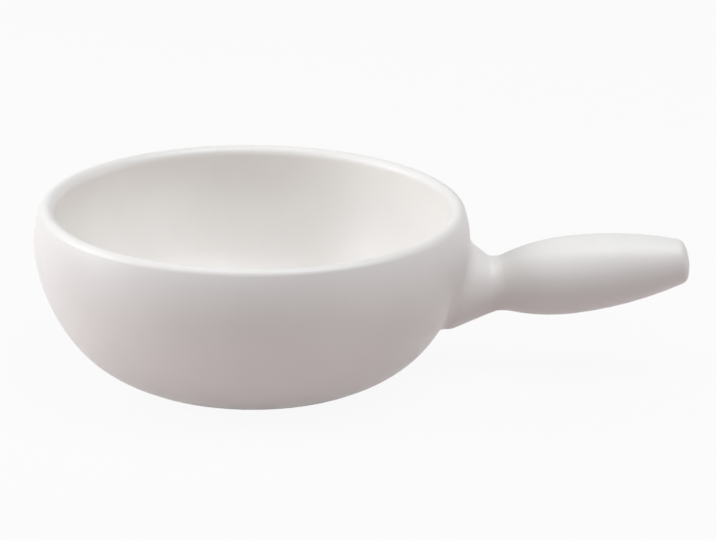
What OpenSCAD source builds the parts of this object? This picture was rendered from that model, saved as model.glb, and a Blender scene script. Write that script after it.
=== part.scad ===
// Stoneware fondue pot: a round glazed bowl with one long hollow handle.
// Millimetres. The origin is the centre of the foot on the table, +Z is up and the handle points to +X.
// The driving sizes are those of the finished pot, over its glaze.

/* [Bowl] */
// Widest outer diameter
belly_d = 230; // [200:1:260]
// Height of the lip above the table
pot_h = 90; // [84:0.5:104]
// Height of the widest part above the table
belly_z = 70; // [62:0.5:76]
// Outer diameter where the bowl meets the table
base_d = 134; // [120:1:146]
// Thickness of the wall and of the lip
wall = 8.2; // [6:0.1:11]
// Height of the inside floor above the table
floor_z = 10; // [8:0.1:14]
// Radius of the outside curve from the lip past the belly
belly_arc_r = 54; // [46:0.5:62]
// Radius of the flatter curve of the flank
flank_arc_r = 96; // [84:1:115]
// Slope of the outside where the belly runs into the flank, in degrees from upright
belly_turn = 11; // [7:0.5:15]
// Slope of the outside where the flank runs into the heel, in degrees from upright
flank_turn = 35; // [30:0.5:40]
// Radius of the curve between the inside wall and the floor
inner_heel_r = 48; // [40:0.5:56]

/* [Foot] */
// Width of the bare ring that stands on the table
foot_w = 14; // [8:0.5:24]
// Height of the glazed recess inside the ring
recess_h = 1.5; // [0.8:0.1:3]
// Height above the table where the outside glaze stops
glaze_line = 1.2; // [0.8:0.1:4]

/* [Handle] */
// Distance of the neck's centre from the bowl's axis
neck_x = 130.3; // [126:0.1:137]
// Height of the neck's centre above the table
neck_z = 47.7; // [44:0.1:52]
// Upward tilt of the grip, in degrees
grip_tilt = 8.4; // [3:0.1:14]
// Diameter of the neck, the thinnest place
neck_d = 29.2; // [26:0.1:34]
// Radius of the hollow curve along the neck
neck_arc_r = 16; // [11:0.5:20]
// Diameter of the grip at its thickest place
grip_d = 41.4; // [38:0.1:48]
// Distance from the neck to the thickest place
grip_at = 38.2; // [32:0.1:46]
// Length from the neck to the tip
grip_l = 102; // [92:0.5:117]
// Diameter to which the grip has tapered at the tip, before its edge is rounded
tip_d = 21; // [18:0.1:28]
// Radius of the domed end
tip_dome_r = 29; // [24:1:50]
// Radius of the rounded edge of the end
tip_edge_r = 5.6; // [3:0.1:7]
// Thickness of the hollow handle's wall
handle_wall = 5.5; // [4:0.1:7]
// Diameter of the vent hole under the grip
vent_d = 4; // [2.5:0.1:6]
// Distance of the vent hole from the neck
vent_at = 30; // [20:0.5:60]

/* [Root of the handle] */
// Diameter of the root where it meets the bowl
root_d = 49; // [44:0.5:56]
// Upward tilt of the root, in degrees
root_tilt = 1; // [-4:0.5:6]
// Half angle of the flare between the neck and the root
flare_angle = 24; // [18:0.5:30]
// Radius that rounds the flare into the root
root_round_r = 9.5; // [7:0.5:12]

/* [Coats] */
// Thickness of the glaze
glaze_t = 0.4; // [0.3:0.05:0.8]
// Thickness of the luting slip between the handle's root and the bowl
slip_t = 0.8; // [0.5:0.05:1.5]

/* [Hidden] */
$fn = 144;
clay_colour = "#d9cbb8";
slip_colour = "#cdbfae";
glaze_colour = "#eeebe6";
// Overlap of a cutting shape past the face that it cuts
past = 1;
// Furthest that a straight step of an outline may lie from its true arc
arc_flat = 0.05;
// Smallest rounding inside the hollow end of the handle
hollow_edge_r = 2;
// Side on which each turned surface closes
bowl_seam = 180;
root_seam = 90;
grip_seam = 45;

// Outside of the bowl: three arcs that run into one another, and a round lip
belly_c = [belly_d / 2 - belly_arc_r, belly_z];
belly_way = [cos(belly_turn), -sin(belly_turn)];
flank_c = belly_c + (belly_arc_r - flank_arc_r) * belly_way;
flank_way = [cos(flank_turn), -sin(flank_turn)];
flank_end = flank_c + flank_arc_r * flank_way;
heel_chord = [base_d / 2, 0] - flank_end;
heel_arc_r = -(heel_chord * heel_chord) / (2 * heel_chord * flank_way);
heel_c = flank_end - heel_arc_r * flank_way;
lip_r = wall / 2;
lip_turn = asin((pot_h - lip_r - belly_z) / (belly_arc_r - lip_r));
lip_c = belly_c + (belly_arc_r - lip_r) * [cos(lip_turn), sin(lip_turn)];

// Inside of the bowl: the belly and flank keep the wall, and the heel runs into the floor
inner_belly_r = belly_arc_r - wall;
inner_flank_r = flank_arc_r - wall;
inner_heel_turn = asin((flank_c.y - inner_heel_r - floor_z) / (inner_flank_r - inner_heel_r));
inner_heel_c = flank_c + (inner_flank_r - inner_heel_r) * [cos(inner_heel_turn), -sin(inner_heel_turn)];
recess_r = base_d / 2 - foot_w;

// Handle: radii and arc centres in a plane through its axis, x out from the axis and y along it from the neck
neck_r = neck_d / 2;
grip_r = grip_d / 2;
tip_r = tip_d / 2;
root_r = root_d / 2;
neck_c = [neck_r + neck_arc_r, 0];
neck_rise = neck_c.x - grip_r;
front_arc_r = (grip_at ^ 2 + neck_rise ^ 2 - neck_arc_r ^ 2) / (2 * (grip_r - neck_r));
front_c = [grip_r - front_arc_r, grip_at];
neck_to = heading(neck_c, front_c);
tail_l = grip_l - grip_at;
tail_arc_r = (tail_l ^ 2 + (grip_r - tip_r) ^ 2) / (2 * (grip_r - tip_r));
tail_c = [grip_r - tail_arc_r, grip_at];
dome_c = [0, grip_l - tip_dome_r];
flare_at = neck_arc_r * tan(flare_angle / 2);
round_x = root_r - root_round_r;
round_rise = (cos(flare_angle) * (round_x - neck_r) + root_round_r) / sin(flare_angle);
round_c = [round_x, flare_at + round_rise];
root_l = neck_x - base_d / 2;

// Heading from one point to another, in degrees
function heading(from, to) = atan2(to.y - from.y, to.x - from.x);

// Points along an arc, without its start
function arc(centre, radius, from, to) =
    let (steps = ceil(abs(to - from) / (2 * acos(1 - arc_flat / radius))))
    [for (k = [1:steps])
        let (turn = from + (to - from) * k / steps)
        centre + radius * [cos(turn), sin(turn)]];

// The same points from last to first
function reversed(points) = [for (k = [len(points) - 1:-1:0]) points[k]];

// Left-hand crossing of two circles, each given by its centre and radius
function circles_meet(a, ra, b, rb) =
    let (
        gap = norm(b - a),
        way = (b - a) / gap,
        along = (gap ^ 2 + ra ^ 2 - rb ^ 2) / (2 * gap),
        aside = sqrt(ra ^ 2 - along ^ 2)
    )
    a + along * way + aside * [-way.y, way.x];

// Heading of the heel's arc at a height above the table
function heel_turn(inset, z) = -asin((heel_c.y - z) / (heel_arc_r - inset));

// Outside of the bowl from a height up to the crest of the lip, inset below the finished surface
function outside_curve(inset, from_z) =
    let (start = heel_turn(inset, from_z), line = heel_turn(inset, glaze_line))
    concat(
        [heel_c + (heel_arc_r - inset) * [cos(start), sin(start)]],
        from_z < glaze_line ? arc(heel_c, heel_arc_r - inset, start, line) : [],
        arc(heel_c, heel_arc_r - inset, line, -flank_turn),
        arc(flank_c, flank_arc_r - inset, -flank_turn, -belly_turn),
        arc(belly_c, belly_arc_r - inset, -belly_turn, lip_turn),
        arc(lip_c, lip_r - inset, lip_turn, 90)
    );

// Inside of the bowl from the middle of the floor up to the crest of the lip
function inside_curve(inset) =
    concat(
        [[0, floor_z - inset], [inner_heel_c.x, floor_z - inset]],
        arc(inner_heel_c, inner_heel_r + inset, -90, -inner_heel_turn),
        arc(flank_c, inner_flank_r + inset, -inner_heel_turn, -belly_turn),
        arc(belly_c, inner_belly_r + inset, -belly_turn, lip_turn),
        arc(lip_c, lip_r - inset, lip_turn + 180, 90)
    );

// Grip from a stub inside the root, past the neck, to the tip
function grip_curve(inset) =
    let (
        edge_r = max(tip_edge_r - inset, hollow_edge_r),
        dome_r = tip_dome_r - inset,
        tail_r = tail_arc_r - inset,
        edge_c = circles_meet(tail_c, tail_r - edge_r, dome_c, dome_r - edge_r),
        tail_to = heading(tail_c, edge_c),
        dome_from = heading(dome_c, edge_c)
    )
    concat(
        [[neck_r - inset, -neck_r], [neck_r - inset, 0]],
        arc(neck_c, neck_arc_r + inset, 180, neck_to),
        arc(front_c, front_arc_r - inset, neck_to - 180, 0),
        arc(tail_c, tail_r, 0, tail_to),
        arc(edge_c, edge_r, tail_to, dome_from),
        arc(dome_c, dome_r, dome_from, 90)
    );

// Root from the neck, out along the flare and into the bowl
function root_curve(inset) =
    let (
        start_r = neck_r - flare_at * tan(flare_angle) - inset / cos(flare_angle),
        round_r = root_round_r - inset
    )
    concat(
        [[start_r, 0]],
        [round_c + round_r * [cos(flare_angle), -sin(flare_angle)]],
        arc(round_c, round_r, -flare_angle, 0),
        [[root_r - inset, root_l]]
    );

// Turned shape whose seam faces the given side, away from where other shapes cut it
module turned(outline, seam) {
    rotate([0, 0, seam]) rotate_extrude() polygon(outline);
}

// The bowl's outside as a solid block
module bowl_block(inset) {
    turned(concat([[0, 0]], outside_curve(inset, 0), [[0, pot_h - inset]]), bowl_seam);
}

// Places a shape that stands on the neck's centre along the grip
module along_grip() {
    translate([neck_x, 0, neck_z]) rotate([0, 90 - grip_tilt, 0]) children();
}

// Places a shape that stands on the neck's centre along the root, towards the bowl
module along_root() {
    translate([neck_x, 0, neck_z]) rotate([0, -90 - root_tilt, 0]) children();
}

// The flared root as a solid block
module root_block(inset) {
    along_root() turned(concat([[0, 0]], root_curve(inset), [[0, root_l]]), root_seam);
}

// The grip as a solid block
module grip_block(inset) {
    along_grip() turned(concat([[0, -neck_r]], grip_curve(inset)), grip_seam);
}

// The whole handle as a solid block
module handle_block(inset) {
    grip_block(inset);
    root_block(inset);
}

// The vent hole, down through the underside of the grip
module vent() {
    along_grip() translate([0, 0, vent_at]) rotate([0, 90, 0]) cylinder(d = vent_d, h = grip_d);
}

// Stoneware bowl with its foot ring
module bowl() {
    color(clay_colour)
    difference() {
        turned(concat([[0, 0]], outside_curve(glaze_t, 0), reversed(inside_curve(glaze_t))), bowl_seam);
        translate([0, 0, -past]) cylinder(r = recess_r, h = past + recess_h + glaze_t);
    }
}

// Hollow stoneware handle, cut to the bowl's wall
module handle() {
    color(clay_colour)
    difference() {
        handle_block(glaze_t);
        handle_block(handle_wall);
        vent();
        bowl_block(glaze_t - slip_t);
    }
}

// Slip between the root's rim and the bowl's wall
module handle_slip() {
    color(slip_colour)
    difference() {
        intersection() {
            root_block(glaze_t);
            bowl_block(glaze_t - slip_t);
        }
        root_block(handle_wall);
        bowl_block(glaze_t);
    }
}

// Glaze on the inside of the bowl, up to the crest of the lip
module inside_glaze() {
    color(glaze_colour)
    turned(concat(inside_curve(0), reversed(inside_curve(glaze_t))), bowl_seam);
}

// Glaze on the outside of the bowl, open where the handle is luted on
module outside_glaze() {
    color(glaze_colour)
    difference() {
        turned(concat(outside_curve(0, glaze_line), reversed(outside_curve(glaze_t, glaze_line))), bowl_seam);
        root_block(glaze_t);
    }
}

// Glaze in the recess under the base
module base_glaze() {
    color(glaze_colour)
    translate([0, 0, recess_h]) cylinder(r = recess_r, h = glaze_t);
}

// Glaze on the handle
module handle_glaze() {
    color(glaze_colour) {
        difference() {
            along_grip() turned(concat(grip_curve(0), reversed(grip_curve(glaze_t))), grip_seam);
            root_block(glaze_t);
            vent();
        }
        difference() {
            along_root() turned(concat(root_curve(0), reversed(root_curve(glaze_t))), root_seam);
            grip_block(glaze_t);
            bowl_block(0);
        }
    }
}

bowl();
handle();
handle_slip();
inside_glaze();
outside_glaze();
base_glaze();
handle_glaze();
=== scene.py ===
"""Looks of a stoneware fondue pot: a turned bowl and one long hollow handle under a satin white glaze.

Lengths are metres in the part's own frame: +Z up, the handle along +X, the origin under the foot.
"""

import functools
import itertools
import logging
import math
from collections.abc import Callable, Mapping, Sequence
from dataclasses import dataclass, field
from enum import Enum
from typing import Any, ClassVar

import bmesh
import bpy
from mathutils import Matrix, Vector


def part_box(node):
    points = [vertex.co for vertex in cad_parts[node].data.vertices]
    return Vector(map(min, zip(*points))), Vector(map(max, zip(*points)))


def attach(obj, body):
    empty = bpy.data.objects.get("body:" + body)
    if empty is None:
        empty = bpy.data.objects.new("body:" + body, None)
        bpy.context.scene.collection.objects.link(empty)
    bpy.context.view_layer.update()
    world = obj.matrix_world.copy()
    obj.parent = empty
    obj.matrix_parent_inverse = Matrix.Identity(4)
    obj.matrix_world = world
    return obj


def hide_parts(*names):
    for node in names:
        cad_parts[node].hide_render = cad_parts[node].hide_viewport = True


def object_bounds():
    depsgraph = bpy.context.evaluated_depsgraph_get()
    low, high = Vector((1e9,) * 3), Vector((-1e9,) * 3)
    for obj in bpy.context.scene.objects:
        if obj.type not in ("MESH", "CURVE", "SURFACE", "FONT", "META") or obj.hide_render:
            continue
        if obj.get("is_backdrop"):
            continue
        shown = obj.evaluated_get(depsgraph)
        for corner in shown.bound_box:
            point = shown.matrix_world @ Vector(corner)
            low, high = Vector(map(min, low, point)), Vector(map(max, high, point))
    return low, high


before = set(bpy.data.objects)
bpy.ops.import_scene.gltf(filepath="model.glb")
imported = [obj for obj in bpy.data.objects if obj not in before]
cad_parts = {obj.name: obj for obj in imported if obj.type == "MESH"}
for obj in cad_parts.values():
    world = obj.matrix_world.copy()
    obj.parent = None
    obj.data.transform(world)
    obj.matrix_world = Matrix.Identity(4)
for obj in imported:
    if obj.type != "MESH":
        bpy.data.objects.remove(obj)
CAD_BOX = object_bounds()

LOG = logging.getLogger("fondue_pot")
MM = 0.001
BODY = "root"
UP = Vector((0, 0, 1))
SIDEWAYS = Vector((0, 1, 0))
LEVEL = (1.0, 1.0, 0.0)
WELD = 0.002 * MM
ARC_STEP = math.radians(3)
CREASE = math.radians(40)

Colour = tuple[float, float, float]
WHITE: Colour = (1.0, 1.0, 1.0)
Place = Callable[[float], Vector]


class Slot(Enum):
    """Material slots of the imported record."""

    CLAY = "clay"
    SLIP = "slip"
    GLAZE = "white_glaze"


class Coat(Enum):
    """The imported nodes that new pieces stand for."""

    CLAY_BOWL = "bowl"
    INSIDE = "inside_glaze"
    OUTSIDE = "outside_glaze"
    BASE = "base_glaze"
    HANDLE = "handle_glaze"


def heading(angle: float) -> Vector:
    """Unit vector in a profile's plane, at an angle in radians."""
    return Vector((math.cos(angle), math.sin(angle)))


def direction(start: Vector, end: Vector) -> float:
    """Angle of the line from one profile point to another, in radians."""
    return math.atan2(end.y - start.y, end.x - start.x)


def arc(centre: Vector, radius: float, start: float, end: float) -> list[Vector]:
    """Points along an arc of a profile, without its start.

    Args:
        centre: Centre of the arc.
        radius: Radius of the arc.
        start: Angle where it starts, in radians.
        end: Angle where it ends, in radians.

    Returns:
        The points, close enough together to look round.
    """
    count = max(1, math.ceil(abs(end - start) / ARC_STEP))
    return [centre + radius * heading(start + (end - start) * k / count) for k in range(1, count + 1)]


class Shape:
    """One mesh on the bench, shaped in edit mode."""

    TURN = "turn"

    def __init__(self, name: str, line: Sequence[Vector]) -> None:
        """Starts from one vertex and extrudes it along a line.

        Args:
            name: Name of the piece.
            line: Points of the line, in order.
        """
        bpy.ops.object.select_all(action="DESELECT")
        bpy.ops.mesh.primitive_plane_add(size=MM, calc_uvs=False)
        self.obj: bpy.types.Object = bpy.context.object
        self.obj.name = name
        self.obj.data.name = name
        bpy.ops.object.mode_set(mode="EDIT")
        bpy.ops.mesh.select_mode(type="VERT")
        bpy.ops.mesh.select_all(action="SELECT")
        bpy.ops.mesh.merge(type="CENTER")
        bpy.ops.transform.translate(value=line[0])
        for start, end in itertools.pairwise(line):
            bpy.ops.mesh.extrude_vertices_move(TRANSFORM_OT_translate={"value": end - start})

    def spin(self, centre: Vector, axis: Vector, steps: int) -> None:
        """Turns the line once round an axis, and welds its seam and poles.

        Args:
            centre: A point on the axis.
            axis: Direction of the axis.
            steps: Number of faces round the axis.
        """
        bpy.ops.mesh.select_all(action="SELECT")
        bpy.ops.mesh.spin(steps=steps, angle=math.tau, center=centre, axis=axis)
        bpy.ops.mesh.select_all(action="SELECT")
        bpy.ops.mesh.remove_doubles(threshold=WELD)

    def pick_open_ring(self, turn_of: Callable[[Vector], float]) -> None:
        """Selects the open end of a tube and notes each vertex's angle round the tube.

        Args:
            turn_of: Gives the angle of a place, in radians.
        """
        bpy.ops.mesh.select_mode(type="EDGE")
        bpy.ops.mesh.select_all(action="DESELECT")
        bpy.ops.mesh.select_non_manifold(extend=False, use_wire=False, use_multi_face=False,
                                         use_non_contiguous=False, use_verts=False)
        mesh = bmesh.from_edit_mesh(self.obj.data)
        turn = mesh.verts.layers.float.new(self.TURN)
        for vert in mesh.verts:
            vert[turn] = turn_of(vert.co)
        bmesh.update_edit_mesh(self.obj.data)

    def extrude_ring(self, place: Place) -> None:
        """Extrudes the selected ring once and puts the new ring in place.

        Args:
            place: Gives the place of a vertex from its angle round the tube.
        """
        bpy.ops.mesh.extrude_region_move()
        mesh = bmesh.from_edit_mesh(self.obj.data)
        turn = mesh.verts.layers.float[self.TURN]
        for vert in (v for v in mesh.verts if v.select):
            vert.co = place(vert[turn])
        bmesh.update_edit_mesh(self.obj.data)

    def leave(self) -> bpy.types.Object:
        """Points all faces outwards and goes back to object mode.

        Returns:
            The object.
        """
        bpy.ops.mesh.select_all(action="SELECT")
        bpy.ops.mesh.normals_make_consistent(inside=False)
        bpy.ops.object.mode_set(mode="OBJECT")
        stored = self.obj.data.attributes.get(self.TURN)
        if stored is not None:
            self.obj.data.attributes.remove(stored)
        return self.obj

    def thicken(self, thickness: float) -> None:
        """Gives an open skin its thickness, inwards."""
        self._apply("SOLIDIFY", thickness=thickness, offset=-1, use_quality_normals=True)

    def cut(self, cutter: bpy.types.Object) -> None:
        """Cuts another mesh out of this one, and removes that mesh."""
        self._apply("BOOLEAN", operation="DIFFERENCE", object=cutter, solver="EXACT")
        bpy.data.meshes.remove(cutter.data)

    def smooth(self) -> bpy.types.Object:
        """Shades the piece smooth, apart from its sharp edges.

        Returns:
            The object.
        """
        self._activate()
        bpy.ops.object.shade_smooth_by_angle(angle=CREASE)
        return self.obj

    def _activate(self) -> None:
        """Makes this piece the only selected one."""
        bpy.ops.object.select_all(action="DESELECT")
        self.obj.select_set(True)
        bpy.context.view_layer.objects.active = self.obj

    def _apply(self, kind: str, **settings: Any) -> None:
        """Adds a modifier and applies it.

        Args:
            kind: Type of the modifier.
            settings: Its settings.
        """
        self._activate()
        modifier = self.obj.modifiers.new(kind.lower(), kind)
        for name, setting in settings.items():
            setattr(modifier, name, setting)
        bpy.ops.object.modifier_apply(modifier=modifier.name)


class Value:
    """A number that changes over a surface, with the operators of arithmetic."""

    def __init__(self, nodes: "Nodes", socket: bpy.types.NodeSocket) -> None:
        """Wraps a node's output.

        Args:
            nodes: The nodes that it belongs to.
            socket: The output.
        """
        self.nodes = nodes
        self.socket = socket

    def _math(self, operation: str, first: Any, second: Any) -> "Value":
        """One Math node on two values or numbers."""
        return self.nodes.value("ShaderNodeMath", {"operation": operation}, {0: first, 1: second})

    def __add__(self, other: Any) -> "Value":
        """This plus another."""
        return self._math("ADD", self, other)

    def __radd__(self, other: Any) -> "Value":
        """Another plus this."""
        return self._math("ADD", other, self)

    def __sub__(self, other: Any) -> "Value":
        """This less another."""
        return self._math("SUBTRACT", self, other)

    def __rsub__(self, other: Any) -> "Value":
        """Another less this."""
        return self._math("SUBTRACT", other, self)

    def __mul__(self, other: Any) -> "Value":
        """This times another."""
        return self._math("MULTIPLY", self, other)

    def __rmul__(self, other: Any) -> "Value":
        """Another times this."""
        return self._math("MULTIPLY", other, self)

    def wave(self) -> "Value":
        """The sine of this, in radians."""
        return self._math("SINE", self, 0.0)

    def step(self, low: float, high: float) -> "Value":
        """Smooth step of this, from 0 at low to 1 at high, or falling where low is above high.

        Args:
            low: Where the step is 0.
            high: Where the step is 1.

        Returns:
            The step.
        """
        start, end = (0.0, 1.0) if low < high else (1.0, 0.0)
        return self.nodes.value(
            "ShaderNodeMapRange",
            {"interpolation_type": "SMOOTHSTEP"},
            {"Value": self, "From Min": min(low, high), "From Max": max(low, high),
             "To Min": start, "To Max": end},
        )


class Nodes:
    """The nodes of a material or of the room."""

    def __init__(self, tree: bpy.types.NodeTree) -> None:
        """Takes over a tree of nodes.

        Args:
            tree: The tree.
        """
        self.tree = tree

    def node(self, kind: str, settings: Mapping[str, Any] | None = None,
             sockets: Mapping[str | int, Any] | None = None) -> bpy.types.Node:
        """Adds a node.

        Args:
            kind: Type of the node.
            settings: Its settings, which are set first.
            sockets: What its inputs hold or are linked to, by name or number.

        Returns:
            The node.
        """
        made = self.tree.nodes.new(kind)
        for name, setting in (settings or {}).items():
            setattr(made, name, setting)
        for name, given in (sockets or {}).items():
            self.feed(made.inputs[name], given)
        return made

    def value(self, kind: str, settings: Mapping[str, Any] | None = None,
              sockets: Mapping[str | int, Any] | None = None, output: str | int = 0) -> Value:
        """Adds a node and wraps one of its outputs, with the same arguments as node."""
        return Value(self, self.node(kind, settings, sockets).outputs[output])

    def feed(self, socket: bpy.types.NodeSocket, given: Any) -> None:
        """Links an input, or sets it.

        Args:
            socket: The input.
            given: A value, an output, a number, a colour or a vector.
        """
        if isinstance(given, Value):
            given = given.socket
        if isinstance(given, bpy.types.NodeSocket):
            self.tree.links.new(given, socket)
        elif socket.type == "RGBA":
            socket.default_value = (*given, 1.0)
        else:
            socket.default_value = given


class Paint(Nodes):
    """The nodes of one material."""

    DOT_CORE = 0.4
    CHANCE_EDGE = 0.001

    def __init__(self, name: str) -> None:
        """Makes the material.

        Args:
            name: Its name.
        """
        self.material = bpy.data.materials.new(name)
        self.material.use_nodes = True
        super().__init__(self.material.node_tree)
        self.shader = self.tree.nodes["Principled BSDF"]
        self.place = self.node("ShaderNodeTexCoord").outputs["Object"]

    def noise(self, size: float, detail: float = 2.0) -> Value:
        """Soft noise from 0 to 1.

        Args:
            size: Width of one patch.
            detail: Number of finer layers.

        Returns:
            The noise.
        """
        return self.value("ShaderNodeTexNoise", None,
                          {"Vector": self.place, "Scale": 1 / size, "Detail": detail})

    def dots(self, spacing: float, radius: float, share: float) -> Value:
        """Scattered round dots.

        Args:
            spacing: Mean distance between the cells that may hold a dot.
            radius: Radius of a dot.
            share: Share of the cells that hold one.

        Returns:
            1 on a dot and 0 beside it.
        """
        cells = self.node("ShaderNodeTexVoronoi", None, {"Vector": self.place, "Scale": 1 / spacing})
        chance = self.value("ShaderNodeSeparateColor", None, {"Color": cells.outputs["Color"]})
        reach = Value(self, cells.outputs["Distance"])
        rim = radius / spacing
        bare = 1 - share
        return reach.step(rim, self.DOT_CORE * rim) * chance.step(bare, bare + self.CHANCE_EDGE)

    def blend(self, first: Any, second: Any, factor: Value) -> bpy.types.NodeSocket:
        """Mixes two colours.

        Args:
            first: The colour at factor 0.
            second: The colour at factor 1.
            factor: How much of the second.

        Returns:
            The mixed colour.
        """
        mix = self.node("ShaderNodeMix", {"data_type": "RGBA"}, {0: factor, 6: first, 7: second})
        return mix.outputs[2]

    def relief(self, height: Value) -> bpy.types.NodeSocket:
        """Normal of a fine relief, from its height in metres."""
        return self.node("ShaderNodeBump", None, {"Height": height, "Distance": 1.0}).outputs["Normal"]

    def finish(self, sockets: Mapping[str, Any]) -> bpy.types.Material:
        """Feeds the shader.

        Args:
            sockets: What each of its inputs holds or is linked to.

        Returns:
            The material.
        """
        for name, given in sockets.items():
            self.feed(self.shader.inputs[name], given)
        return self.material


@dataclass(frozen=True)
class SatinGlaze:
    """Satin white glaze: faint pools of tone, a soft peel, sparse pinholes, and a thin coat on the lip."""

    lip_z: float
    colour: Colour = (0.91, 0.872, 0.842)
    pooled: Colour = (0.89, 0.85, 0.816)
    thin: Colour = (0.89, 0.85, 0.816)
    pinhole: Colour = (0.56, 0.51, 0.45)
    pool_size: float = 42 * MM
    patch_from: float = 0.3
    patch_to: float = 0.7
    thin_reach: float = 2.2 * MM
    thin_share: float = 0.35
    peel_size: float = 2.6 * MM
    peel_height: float = 0.012 * MM
    swell_size: float = 17 * MM
    swell_height: float = 0.03 * MM
    hole_spacing: float = 7 * MM
    hole_r: float = 0.2 * MM
    hole_share: float = 0.22
    hole_depth: float = 0.03 * MM
    smoothest: float = 0.34
    roughest: float = 0.44
    rough_size: float = 11 * MM
    rough_detail: float = 4.0

    def patches(self, noise: Value) -> Value:
        """Soft patches, where a noise is high."""
        return noise.step(self.patch_from, self.patch_to)

    def material(self) -> bpy.types.Material:
        """Makes the glaze.

        Returns:
            The material.
        """
        paint = Paint("satin_white_glaze")
        height = paint.value("ShaderNodeSeparateXYZ", None, {"Vector": paint.place}, "Z")
        holes = paint.dots(self.hole_spacing, self.hole_r, self.hole_share)
        thin = height.step(self.lip_z - self.thin_reach, self.lip_z) * self.thin_share
        colour = paint.blend(self.colour, self.pooled, self.patches(paint.noise(self.pool_size)))
        colour = paint.blend(colour, self.thin, thin)
        colour = paint.blend(colour, self.pinhole, holes)
        relief = (
            paint.noise(self.peel_size) * self.peel_height
            + paint.noise(self.swell_size) * self.swell_height
            - holes * self.hole_depth
        )
        rough = self.patches(paint.noise(self.rough_size, self.rough_detail))
        return paint.finish({
            "Base Color": colour,
            "Roughness": rough * (self.roughest - self.smoothest) + self.smoothest,
            "Normal": paint.relief(relief),
        })


@dataclass(frozen=True)
class BareClay:
    """Bare fired stoneware: a pale body with fine grog, turning marks and a dry, grainy surface."""

    name: str = "bare_clay"
    colour: Colour = (0.60, 0.53, 0.45)
    stained: Colour = (0.53, 0.455, 0.375)
    grog: Colour = (0.30, 0.23, 0.175)
    stain_size: float = 19 * MM
    stain_detail: float = 4.0
    stain_from: float = 0.35
    stain_to: float = 0.7
    grain_size: float = 0.5 * MM
    grain_detail: float = 3.0
    grain_from: float = 0.5
    grain_to: float = 0.8
    grain_height: float = 0.035 * MM
    grain_roughness: float = 0.1
    mark_pitch: float = 1.7 * MM
    mark_height: float = 0.03 * MM
    grog_spacing: float = 2.4 * MM
    grog_r: float = 0.3 * MM
    grog_share: float = 0.3
    roughness: float = 0.86

    def material(self) -> bpy.types.Material:
        """Makes the clay.

        Returns:
            The material.
        """
        paint = Paint(self.name)
        flat = paint.node("ShaderNodeVectorMath", {"operation": "MULTIPLY"},
                          {0: paint.place, 1: LEVEL})
        radius = paint.value("ShaderNodeVectorMath", {"operation": "LENGTH"},
                             {0: flat.outputs["Vector"]}, "Value")
        grain = paint.noise(self.grain_size, self.grain_detail)
        grog = paint.dots(self.grog_spacing, self.grog_r, self.grog_share)
        drift = paint.noise(self.stain_size, self.stain_detail)
        marks = (radius * (math.tau / self.mark_pitch) + drift * math.tau).wave()
        colour = paint.blend(self.colour, self.stained, drift.step(self.stain_from, self.stain_to))
        colour = paint.blend(colour, self.stained, grain.step(self.grain_from, self.grain_to))
        colour = paint.blend(colour, self.grog, grog)
        relief = grain * self.grain_height + marks * self.mark_height + grog * self.grain_height
        return paint.finish({
            "Base Color": colour,
            "Roughness": self.roughness + self.grain_roughness * grain,
            "Normal": paint.relief(relief),
        })


@dataclass(frozen=True)
class LutingSlip(BareClay):
    """The slip in the joint: the same clay, a little darker and with hardly any grog."""

    name: str = "luting_slip"
    colour: Colour = (0.55, 0.48, 0.40)
    grog_share: float = 0.05


@dataclass
class Piece:
    """A finished piece: its mesh, its material and what it stands for."""

    obj: bpy.types.Object
    material: bpy.types.Material
    slot: Slot
    coat: Coat

    def hand_over(self) -> None:
        """Dresses the piece, sets it on its body and hides the node that it stands for."""
        self.obj.data.materials.clear()
        self.obj.data.materials.append(self.material)
        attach(self.obj, BODY)
        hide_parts(self.coat.value)
        LOG.info("%s: %d faces, for %s", self.obj.name, len(self.obj.data.polygons), self.coat.value)


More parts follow.
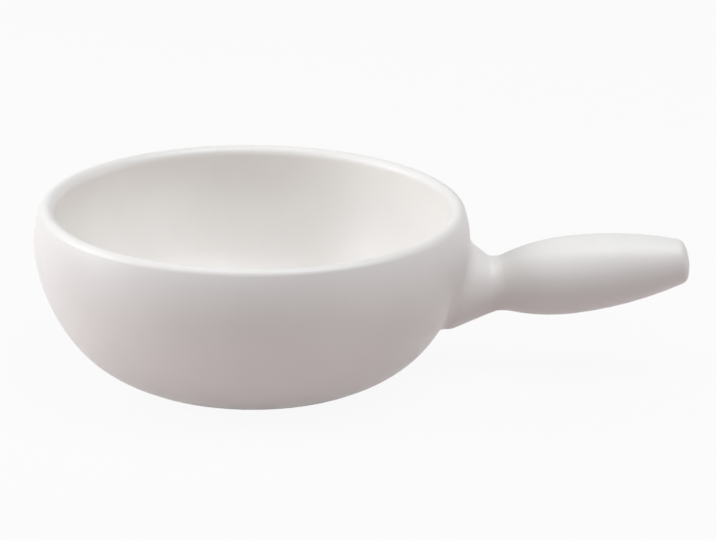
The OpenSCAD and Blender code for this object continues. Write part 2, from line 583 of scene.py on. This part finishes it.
@dataclass
class Bowl:
    """The turned bowl: its clay, its inside and outside glaze and the glaze under its base.

    The sizes are those of the finished pot, over its glaze. A profile holds points of (radius, height).
    """

    belly_d: float = 230 * MM
    belly_z: float = 70 * MM
    base_d: float = 134 * MM
    wall: float = 8.2 * MM
    belly_arc_r: float = 54 * MM
    flank_arc_r: float = 96 * MM
    belly_turn: float = math.radians(11)
    flank_turn: float = math.radians(35)
    inner_heel_r: float = 48 * MM
    foot_edge_r: float = 0.7 * MM
    roll_reach: float = 2.4 * MM
    roll_swell: float = 0.18 * MM
    roll_rings: int = 14
    floor_rings: int = 8
    steps: int = 240

    def __post_init__(self) -> None:
        """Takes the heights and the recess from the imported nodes, and works out the arcs."""
        outside_low, outside_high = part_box(Coat.OUTSIDE.value)
        inside_low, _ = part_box(Coat.INSIDE.value)
        base_low, base_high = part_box(Coat.BASE.value)
        self.pot_h = outside_high.z
        self.glaze_line = outside_low.z
        self.glaze_t = base_high.z - base_low.z
        self.recess_h = base_low.z
        self.recess_r = base_high.x
        self.floor_z = inside_low.z + self.glaze_t
        self.belly_c = Vector((self.belly_d / 2 - self.belly_arc_r, self.belly_z))
        self.flank_c = self.belly_c + (self.belly_arc_r - self.flank_arc_r) * heading(-self.belly_turn)
        flank_way = heading(-self.flank_turn)
        flank_end = self.flank_c + self.flank_arc_r * flank_way
        chord = Vector((self.base_d / 2, 0)) - flank_end
        self.heel_arc_r = -chord.length_squared / (2 * chord.dot(flank_way))
        self.heel_c = flank_end - self.heel_arc_r * flank_way
        self.lip_r = self.wall / 2
        lip_arm = self.belly_arc_r - self.lip_r
        self.lip_turn = math.asin((self.pot_h - self.lip_r - self.belly_z) / lip_arm)
        self.lip_c = self.belly_c + lip_arm * heading(self.lip_turn)
        heel_arm = self.flank_arc_r - self.wall - self.inner_heel_r
        self.inner_heel_turn = math.asin((self.flank_c.y - self.inner_heel_r - self.floor_z) / heel_arm)
        self.inner_heel_c = self.flank_c + heel_arm * heading(-self.inner_heel_turn)

    def heel_turn(self, inset: float, z: float) -> float:
        """Angle of the heel's arc at a height, in radians."""
        return -math.asin((self.heel_c.y - z) / (self.heel_arc_r - inset))

    def outside(self, inset: float, from_z: float) -> list[Vector]:
        """Outside of the bowl, from a height on the heel up to the crest of the lip.

        Args:
            inset: Depth below the finished surface.
            from_z: Height of the first point.

        Returns:
            The profile's points.
        """
        start = self.heel_turn(inset, from_z)
        return [
            self.heel_c + (self.heel_arc_r - inset) * heading(start),
            *arc(self.heel_c, self.heel_arc_r - inset, start, -self.flank_turn),
            *arc(self.flank_c, self.flank_arc_r - inset, -self.flank_turn, -self.belly_turn),
            *arc(self.belly_c, self.belly_arc_r - inset, -self.belly_turn, self.lip_turn),
            *arc(self.lip_c, self.lip_r - inset, self.lip_turn, math.pi / 2),
        ]

    def inside(self, inset: float) -> list[Vector]:
        """Inside of the bowl, from the middle of the floor up to the crest of the lip.

        Args:
            inset: Depth below the finished surface.

        Returns:
            The profile's points.
        """
        inner = -self.wall + inset
        floor = self.floor_z - inset
        rings = range(self.floor_rings)
        return [
            *(Vector((self.inner_heel_c.x * k / self.floor_rings, floor)) for k in rings),
            Vector((self.inner_heel_c.x, floor)),
            *arc(self.inner_heel_c, self.inner_heel_r + inset, -math.pi / 2, -self.inner_heel_turn),
            *arc(self.flank_c, self.flank_arc_r + inner, -self.inner_heel_turn, -self.belly_turn),
            *arc(self.belly_c, self.belly_arc_r + inner, -self.belly_turn, self.lip_turn),
            *arc(self.lip_c, self.lip_r - inset, self.lip_turn + math.pi, math.pi / 2),
        ]

    def wall_r(self, z: float) -> float:
        """Outer radius of the finished bowl.

        Args:
            z: A height below the lip.

        Returns:
            The radius there.
        """
        for centre, radius, turn in (
            (self.belly_c, self.belly_arc_r, self.belly_turn),
            (self.flank_c, self.flank_arc_r, self.flank_turn),
        ):
            if z > centre.y - radius * math.sin(turn):
                break
        else:
            centre, radius = self.heel_c, self.heel_arc_r
        return centre.x + math.sqrt(radius ** 2 - (z - centre.y) ** 2)

    def rolled_edge(self) -> list[Vector]:
        """Outside of the glaze just above its lower edge, where it has run into a low roll.

        Returns:
            The profile's points, up to where the roll ends.
        """
        points = []
        for k in range(self.roll_rings):
            share = k / self.roll_rings
            swell = self.roll_swell * math.sin(math.pi * math.sqrt(share))
            z = self.glaze_line + share * self.roll_reach
            turn = self.heel_turn(0, z)
            points.append(self.heel_c + (self.heel_arc_r + swell) * heading(turn))
        return points

    def turn(self, name: str, profile: Sequence[Vector]) -> bpy.types.Object:
        """Turns a closed profile into a piece.

        Args:
            name: Name of the piece.
            profile: Points of (radius, height), once round or from the axis back to it.

        Returns:
            The piece's object.
        """
        line = [Vector((point.x, 0, point.y)) for point in profile]
        shape = Shape(name, line)
        shape.spin(Vector(), UP, self.steps)
        shape.leave()
        return shape.smooth()

    def clay(self) -> bpy.types.Object:
        """Turns the clay body, with a foot ring whose edges are sponged round.

        Returns:
            The piece's object.
        """
        edge = self.foot_edge_r
        top = self.recess_h + self.glaze_t
        heel = self.outside(self.glaze_t, edge)
        ring_in = Vector((self.recess_r + edge, edge))
        ring_out = Vector((heel[0].x - edge, edge))
        return self.turn("bowl_clay", [
            Vector((0, top)),
            Vector((self.recess_r, top)),
            Vector((self.recess_r, edge)),
            *arc(ring_in, edge, math.pi, 1.5 * math.pi),
            *arc(ring_out, edge, -math.pi / 2, 0),
            *heel[1:],
            *reversed(self.inside(self.glaze_t)[:-1]),
        ])

    def inside_glaze(self) -> bpy.types.Object:
        """The glaze poured into the bowl, up to the crest of the lip."""
        return self.turn("glaze_inside", [*self.inside(0), *reversed(self.inside(self.glaze_t))])

    def outside_glaze(self) -> bpy.types.Object:
        """Turns the glaze on the outside, with a rolled lower edge.

        Returns:
            The piece's object.
        """
        profile = [
            *self.rolled_edge(),
            *self.outside(0, self.glaze_line + self.roll_reach),
            *reversed(self.outside(self.glaze_t, self.glaze_line)),
        ]
        return self.turn("glaze_outside", [*profile, profile[0]])

    def base_glaze(self) -> bpy.types.Object:
        """Turns the glaze in the recess, which runs down a little way at the foot ring.

        Returns:
            The piece's object.
        """
        climb = self.recess_h / 2
        corner = Vector((self.recess_r - climb, self.recess_h - climb))
        return self.turn("glaze_base", [
            Vector((0, self.recess_h)),
            *arc(corner, climb, math.pi / 2, 0),
            Vector((self.recess_r, self.recess_h + self.glaze_t)),
            Vector((0, self.recess_h + self.glaze_t)),
        ])

    def build(self, glaze: bpy.types.Material, clay: bpy.types.Material) -> None:
        """Builds and hands over the bowl's pieces.

        Args:
            glaze: The glaze's material.
            clay: The bare clay's material.
        """
        Piece(self.clay(), clay, Slot.CLAY, Coat.CLAY_BOWL).hand_over()
        Piece(self.inside_glaze(), glaze, Slot.GLAZE, Coat.INSIDE).hand_over()
        Piece(self.outside_glaze(), glaze, Slot.GLAZE, Coat.OUTSIDE).hand_over()
        Piece(self.base_glaze(), glaze, Slot.GLAZE, Coat.BASE).hand_over()


@dataclass(frozen=True)
class Flare:
    """One side of the handle's root, which spreads from the neck to the bowl.

    It has a slope against the root's axis, the distance from the neck where that slope would leave the
    neck, and the radius of the hollow curve there.
    """

    slope: float
    start: float
    hollow_r: float

    def towards(self, other: "Flare", share: float) -> "Flare":
        """This side, with a share of another side."""
        return Flare(
            self.slope + share * (other.slope - self.slope),
            self.start + share * (other.start - self.start),
            self.hollow_r + share * (other.hollow_r - self.hollow_r),
        )


@dataclass(eq=False)
class Handle:
    """The hollow handle: the skin of its glaze, from the domed tip to the fillet on the bowl's wall.

    Places along it are distances from the neck, positive along the grip and negative along the root.
    """

    HALVINGS: ClassVar[int] = 48

    bowl: Bowl
    neck: Vector = field(default_factory=lambda: Vector((130.3 * MM, 0, 47.7 * MM)))
    grip_tilt: float = math.radians(8.4)
    neck_r: float = 29.2 * MM / 2
    neck_arc_r: float = 16 * MM
    grip_r: float = 41.4 * MM / 2
    grip_at: float = 38.2 * MM
    grip_l: float = 102 * MM
    tip_r: float = 21 * MM / 2
    tip_dome_r: float = 29 * MM
    tip_edge_r: float = 5.6 * MM
    root_r: float = 24.5 * MM
    root_tilt: float = math.radians(1)
    root_round_r: float = 9.5 * MM
    over: Flare = Flare(slope=math.radians(38.7), start=4.7 * MM, hollow_r=6.7 * MM)
    beside: Flare = Flare(slope=math.radians(25), start=2.4 * MM, hollow_r=10 * MM)
    under: Flare = Flare(slope=math.radians(22.5), start=0.95 * MM, hollow_r=4.4 * MM)
    vent_r: float = 2 * MM
    vent_at: float = 30 * MM
    vent_edge_r: float = 0.35 * MM
    vent_steps: int = 30
    bend_l: float = 10 * MM
    fillet: float = 3.0 * MM
    side_fillet: float = 6.5 * MM
    fillet_rings: int = 10
    root_rings: int = 40
    steps: int = 120

    def __post_init__(self) -> None:
        """Works out the arcs of the profile."""
        self.neck_c = Vector((self.neck_r + self.neck_arc_r, 0))
        rise = self.neck_c.x - self.grip_r
        swell = self.grip_r - self.neck_r
        self.front_arc_r = (self.grip_at ** 2 + rise ** 2 - self.neck_arc_r ** 2) / (2 * swell)
        self.front_c = Vector((self.grip_r - self.front_arc_r, self.grip_at))
        tail_l = self.grip_l - self.grip_at
        taper = self.grip_r - self.tip_r
        self.tail_arc_r = (tail_l ** 2 + taper ** 2) / (2 * taper)
        self.tail_c = Vector((self.grip_r - self.tail_arc_r, self.grip_at))
        self.dome_c = Vector((0, self.grip_l - self.tip_dome_r))

    def axis(self, tilt: float) -> Vector:
        """Direction along the handle, away from the bowl, at a tilt."""
        return Vector((math.cos(tilt), 0, math.sin(tilt)))

    def above(self, tilt: float) -> Vector:
        """Direction square to the handle, upwards, at a tilt."""
        return Vector((-math.sin(tilt), 0, math.cos(tilt)))

    def grip_profile(self) -> list[Vector]:
        """Profile of the grip, from the end of the bend at the neck to the middle of the tip.

        Returns:
            Points of (radius, distance from the neck).
        """
        tail_arm = self.tail_arc_r - self.tip_edge_r
        dome_arm = self.tip_dome_r - self.tip_edge_r
        between = self.dome_c - self.tail_c
        gap = between.length
        along = (gap ** 2 + tail_arm ** 2 - dome_arm ** 2) / (2 * gap)
        aside = math.sqrt(tail_arm ** 2 - along ** 2)
        way = between / gap
        edge_c = self.tail_c + along * way + aside * Vector((-way.y, way.x))
        start = Vector((self.grip_radius(self.bend_l / 2), self.bend_l / 2))
        tail_end = direction(self.tail_c, edge_c)
        dome_start = direction(self.dome_c, edge_c)
        return [
            start,
            *arc(self.front_c, self.front_arc_r, direction(self.front_c, start), 0),
            *arc(self.tail_c, self.tail_arc_r, 0, tail_end),
            *arc(edge_c, self.tip_edge_r, tail_end, dome_start),
            *arc(self.dome_c, self.tip_dome_r, dome_start, math.pi / 2),
        ]

    def grip_radius(self, along: float) -> float:
        """Radius of the neck and the front of the grip.

        Args:
            along: Distance from the neck.

        Returns:
            The radius there.
        """
        if along < self.neck_arc_r * math.sin(direction(self.neck_c, self.front_c)):
            return self.neck_c.x - math.sqrt(self.neck_arc_r ** 2 - along ** 2)
        return self.front_c.x + math.sqrt(self.front_arc_r ** 2 - (along - self.grip_at) ** 2)

    def root_radius(self, turn: float, out: float) -> float:
        """Radius of the root, which spreads more over its top than under it.

        Args:
            turn: Angle round the handle from its top, in radians.
            out: Distance from the neck, towards the bowl.

        Returns:
            The radius there.
        """
        rise = math.cos(turn)
        flare = self.beside.towards(self.over if rise > 0 else self.under, rise ** 2)
        slope = math.tan(flare.slope)
        round_x = self.root_r - self.root_round_r
        round_spread = round_x - self.neck_r + self.root_round_r / math.cos(flare.slope)
        round_at = flare.start + round_spread / slope
        hollow = out - flare.start + flare.hollow_r * math.tan(flare.slope / 2)
        if hollow < 0:
            return self.neck_r
        if hollow < flare.hollow_r * math.sin(flare.slope):
            return self.neck_r + flare.hollow_r - math.sqrt(flare.hollow_r ** 2 - hollow ** 2)
        if out < round_at - self.root_round_r * math.sin(flare.slope):
            return self.neck_r + (out - flare.start) * slope
        return round_x + math.sqrt(self.root_round_r ** 2 - min(0, out - round_at) ** 2)

    def spine(self, along: float) -> tuple[Vector, float]:
        """The handle's middle line, which bends at the neck in one short arc.

        Args:
            along: Distance from the neck.

        Returns:
            The point, and the tilt there.
        """
        half = self.bend_l / 2
        if along >= half:
            return self.neck + along * self.axis(self.grip_tilt), self.grip_tilt
        if along <= -half:
            return self.neck + along * self.axis(self.root_tilt), self.root_tilt
        rate = (self.grip_tilt - self.root_tilt) / self.bend_l
        tilt = self.root_tilt + (along + half) * rate
        start = self.neck - half * self.axis(self.root_tilt)
        return start + (self.above(self.root_tilt) - self.above(tilt)) / rate, tilt

    def skin(self, turn: float, along: float, out: float = 0.0) -> Vector:
        """A point on the root, the neck or the front of the grip.

        Args:
            turn: Angle round the handle from its top, in radians.
            along: Distance from the neck.
            out: Height above the skin.

        Returns:
            The point.
        """
        middle, tilt = self.spine(along)
        way = math.cos(turn) * self.above(tilt) + math.sin(turn) * SIDEWAYS
        radius = self.grip_radius(along) if along > 0 else self.root_radius(turn, -along)
        return middle + (radius + out) * way

    @functools.cache
    def contact(self, turn: float, out: float = 0.0) -> float:
        """Place where a line along the handle meets the bowl's wall.

        Args:
            turn: Angle of the line round the handle, in radians.
            out: Height of the line above the skin.

        Returns:
            The distance from the neck, which is negative.
        """
        clear, inside = 0.0, -self.neck.x / 2
        for _ in range(self.HALVINGS):
            middle = (clear + inside) / 2
            point = self.skin(turn, middle, out)
            if math.hypot(point.x, point.y) > self.bowl.wall_r(point.z):
                clear = middle
            else:
                inside = middle
        return clear

    def fillet_reach(self, turn: float) -> float:
        """Reach of the fillet at an angle round the handle, which is widest at the sides."""
        return self.fillet + (self.side_fillet - self.fillet) * math.sin(turn) ** 2

    def root_point(self, turn: float, share: float) -> Vector:
        """A point on the skin between the bend at the neck and the fillet.

        Args:
            turn: Angle round the handle, in radians.
            share: 0 where the grip starts and 1 where the fillet starts.

        Returns:
            The point.
        """
        grip_start = self.bend_l / 2
        fillet_start = self.contact(turn) + self.fillet_reach(turn)
        return self.skin(turn, grip_start + share * (fillet_start - grip_start))

    def fillet_point(self, turn: float, share: float) -> Vector:
        """A point on the fillet between the handle and the bowl.

        Args:
            turn: Angle round the handle, in radians.
            share: 0 on the handle's skin and 1 on the bowl's wall.

        Returns:
            The point, on a curve that runs smoothly into both.
        """
        meet = self.contact(turn)
        reach = self.fillet_reach(turn)
        start = self.skin(turn, meet + reach)
        corner = self.skin(turn, meet)
        end = self.skin(turn, self.contact(turn, reach), reach)
        return (1 - share) ** 2 * start + 2 * share * (1 - share) * corner + share ** 2 * end

    def turn_of(self, point: Vector) -> float:
        """Angle of a point of the grip round the handle from its top, in radians."""
        arm = point - self.neck
        return math.atan2(arm.y, arm.dot(self.above(self.grip_tilt)))

    def vent_cutter(self) -> bpy.types.Object:
        """Turns a plug with a flared end, of the shape of the vent hole under the grip.

        Returns:
            The plug's object.
        """
        middle, tilt = self.spine(self.vent_at)
        down = -self.above(tilt)
        out = self.axis(tilt)
        reach = self.grip_radius(self.vent_at)
        edge = self.vent_edge_r
        flare = Vector((self.vent_r + edge, reach - edge))
        profile = [
            Vector((0, reach / 2)),
            Vector((self.vent_r, reach / 2)),
            Vector((self.vent_r, reach - edge)),
            *arc(flare, edge, math.pi, math.pi / 2),
            Vector((self.vent_r + edge, reach + self.vent_r)),
            Vector((0, reach + self.vent_r)),
        ]
        shape = Shape("vent_cutter", [middle + point.x * out + point.y * down for point in profile])
        shape.spin(middle, down, self.vent_steps)
        return shape.leave()

    def glaze(self) -> bpy.types.Object:
        """Makes the glaze on the handle, from the tip to the fillet on the bowl's wall.

        Returns:
            The piece's object.
        """
        out, above = self.axis(self.grip_tilt), self.above(self.grip_tilt)
        line = [self.neck + point.y * out + point.x * above for point in self.grip_profile()]
        shape = Shape("glaze_handle", line)
        shape.spin(self.neck, out, self.steps)
        shape.pick_open_ring(self.turn_of)
        for ring in range(1, self.root_rings + 1):
            shape.extrude_ring(lambda turn: self.root_point(turn, ring / self.root_rings))
        for ring in range(1, self.fillet_rings + 1):
            shape.extrude_ring(lambda turn: self.fillet_point(turn, ring / self.fillet_rings))
        shape.leave()
        shape.thicken(self.bowl.glaze_t)
        shape.cut(self.vent_cutter())
        return shape.smooth()

    def build(self, glaze: bpy.types.Material, clay: bpy.types.Material, slip: bpy.types.Material) -> None:
        """Builds and hands over the handle's glaze, and dresses the packed clay and slip under it.

        Args:
            glaze: The glaze's material.
            clay: The bare clay's material.
            slip: The luting slip's material.
        """
        Piece(self.glaze(), glaze, Slot.GLAZE, Coat.HANDLE).hand_over()
        for node, material in (("handle", clay), ("handle_slip", slip)):
            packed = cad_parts[node]
            packed.data.materials.clear()
            packed.data.materials.append(material)
            LOG.info("%s: dressed as %s", node, material.name)


def away(azimuth: float, elevation: float) -> Vector:
    """Direction from the pot to a lamp or the camera.

    Args:
        azimuth: Angle in degrees, 0 in front of the pot and 90 on its handle's side.
        elevation: Angle above the table, in degrees.

    Returns:
        The unit vector.
    """
    turn, rise = math.radians(azimuth), math.radians(elevation)
    return Vector((math.sin(turn) * math.cos(rise), -math.cos(turn) * math.cos(rise), math.sin(rise)))


@dataclass(frozen=True)
class Softbox:
    """A square studio lamp that faces the pot."""

    name: str
    azimuth: float
    elevation: float
    distance: float
    size: float
    power: float
    colour: Colour = (0.925, 0.968, 1.0)

    def light(self, aim: Vector) -> None:
        """Hangs the lamp.

        Args:
            aim: The point that it faces.
        """
        back = away(self.azimuth, self.elevation)
        bpy.ops.object.light_add(type="AREA", location=aim + self.distance * back)
        lamp = bpy.context.object
        lamp.name = self.name
        lamp.rotation_euler = back.to_track_quat("Z", "Y").to_euler()
        lamp.data.size = self.size
        lamp.data.energy = self.power
        lamp.data.color = self.colour


@dataclass(frozen=True)
class Viewpoint:
    """The photograph's camera."""

    aim: Vector
    azimuth: float = 0.0
    elevation: float = 18.86
    roll: float = 1.051
    distance: float = 1.4
    lens_mm: float = 132.2
    sensor_mm: float = 36.0

    def set_up(self) -> None:
        """Makes the camera the scene's own."""
        back = away(self.azimuth, self.elevation)
        level = UP.cross(back).normalized()
        upright = back.cross(level)
        roll = math.radians(self.roll)
        right = math.cos(roll) * level + math.sin(roll) * upright
        turn = Matrix((right, back.cross(right), back)).transposed()
        place = Matrix.Translation(self.aim + self.distance * back) @ turn.to_4x4()
        bpy.ops.object.camera_add()
        camera = bpy.context.object
        camera.name = "camera"
        camera.matrix_world = place
        camera.data.lens = self.lens_mm
        camera.data.sensor_width = self.sensor_mm
        bpy.context.scene.camera = camera


@dataclass(frozen=True)
class Studio:
    """The white table, the white room and the lamps."""

    lamps: tuple[Softbox, ...]
    aim: Vector
    table_size: float = 12.0
    table_colour: Colour = (0.60, 0.52, 0.52)
    table_white: float = 0.93
    table_roughness: float = 0.9
    room_light: float = 0.165
    room_colour: Colour = WHITE
    room_reflected: float = 0.4

    def seen(self, nodes: Nodes, reflected: float = 1.0) -> Value:
        """How white the surroundings look: 1 on rays from the camera, and 0 on rays that carry light.

        Args:
            nodes: The nodes of the surroundings' material.
            reflected: The value in reflections.

        Returns:
            The value.
        """
        path = nodes.node("ShaderNodeLightPath")
        camera, glossy, through = (
            Value(nodes, path.outputs[f"Is {kind} Ray"]) for kind in ("Camera", "Glossy", "Transmission")
        )
        return camera + glossy * reflected + through

    def table(self) -> None:
        """Lays the table top, which looks nearly white and keeps the pot's shadow."""
        bpy.ops.object.select_all(action="DESELECT")
        bpy.ops.mesh.primitive_plane_add(size=self.table_size)
        top = bpy.context.object
        top.name = "table_top"
        paint = Paint("white_table")
        paint.finish({
            "Base Color": self.table_colour,
            "Roughness": self.table_roughness,
            "Specular IOR Level": 0.0,
        })
        white = paint.node("ShaderNodeEmission", None, {"Color": WHITE, "Strength": 1.0})
        mix = paint.node("ShaderNodeMixShader", None, {
            0: self.seen(paint) * self.table_white,
            1: paint.shader.outputs["BSDF"],
            2: white.outputs["Emission"],
        })
        paint.feed(paint.tree.nodes["Material Output"].inputs["Surface"], mix.outputs["Shader"])
        top.data.materials.append(paint.material)
        top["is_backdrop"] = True

    def room(self) -> None:
        """Fills the room with soft light, and shows it as white."""
        world = bpy.data.worlds.new("white_room")
        world.use_nodes = True
        bpy.context.scene.world = world
        nodes = Nodes(world.node_tree)
        lit, white = (
            nodes.node("ShaderNodeBackground", None, {"Color": colour, "Strength": strength})
            for colour, strength in ((self.room_colour, self.room_light), (WHITE, 1.0))
        )
        mix = nodes.node("ShaderNodeMixShader", None, {
            0: self.seen(nodes, self.room_reflected),
            1: lit.outputs["Background"],
            2: white.outputs["Background"],
        })
        nodes.feed(nodes.tree.nodes["World Output"].inputs["Surface"], mix.outputs["Shader"])

    def set_up(self) -> None:
        """Sets the table, the room and the lamps."""
        bpy.context.scene.view_settings.view_transform = "Standard"
        self.table()
        self.room()
        for lamp in self.lamps:
            lamp.light(self.aim)


def write_sizes() -> None:
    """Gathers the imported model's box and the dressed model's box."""
    boxes = {"cad": CAD_BOX, "visual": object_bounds()}
    {name: [list(corner) for corner in box] for name, box in boxes.items()}


def main() -> None:
    """Builds the pot, its studio and its camera."""
    logging.basicConfig(level=logging.INFO, format="%(name)s: %(message)s")
    bowl = Bowl()
    glaze = SatinGlaze(lip_z=bowl.pot_h).material()
    clay = BareClay().material()
    slip = LutingSlip().material()
    bowl.build(glaze, clay)
    Handle(bowl).build(glaze, clay, slip)
    aim = Vector((55.98 * MM, 3.4 * MM, 52.52 * MM))
    lamps = (
        Softbox("key", azimuth=-90, elevation=25, distance=1.6, size=1.1, power=17.4),
        Softbox("fill", azimuth=75, elevation=64, distance=2.4, size=1.7, power=29.2),
        Softbox("top", azimuth=0, elevation=90, distance=1.6, size=1.0, power=5.1),
        Softbox("front", azimuth=0, elevation=25, distance=1.6, size=1.0, power=1.6),
    )
    Studio(lamps, aim).set_up()
    Viewpoint(aim).set_up()
    write_sizes()


if __name__ == "__main__":
    main()
